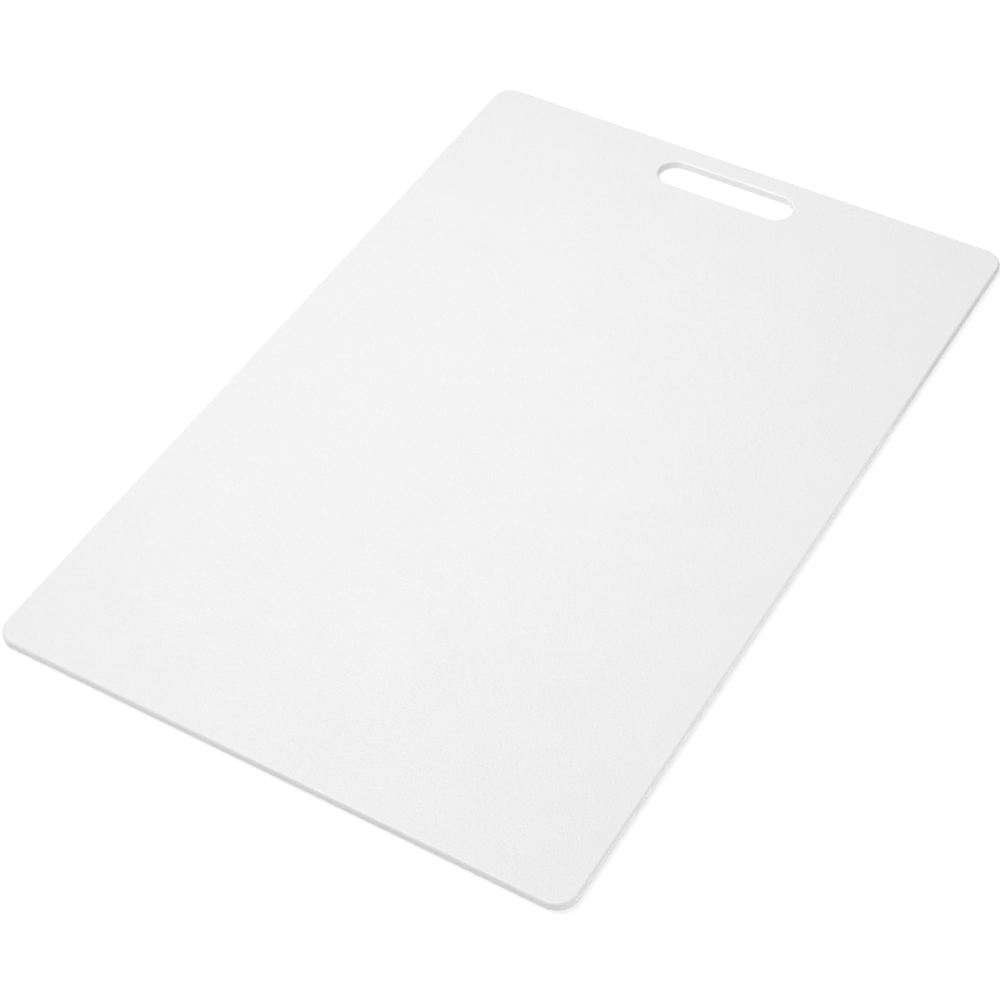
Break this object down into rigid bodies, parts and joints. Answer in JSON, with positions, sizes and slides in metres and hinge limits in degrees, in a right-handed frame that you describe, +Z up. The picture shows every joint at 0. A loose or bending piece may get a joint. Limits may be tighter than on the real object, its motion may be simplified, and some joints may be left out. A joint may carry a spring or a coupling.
{
  "type": "cutting board",
  "caption": "Flat rectangular cutting board of solid white plastic with round corners, rounded edges and a hand slot near a short edge.",
  "frame": {"origin": "centre of the underside, on the surface the board lies on", "axes": "+X across the board's width, +Y along its length towards the hand slot, +Z up through its thickness"},
  "size_m": [0.3048, 0.4572, 0.005],
  "materials": {
    "white_polyethylene": "fine pebbled matt texture on both faces, smooth satin on the rounded edges and in the slot"
  },
  "bodies": {
    "root": {"board": "white_polyethylene"}
  },
  "joints": []
}
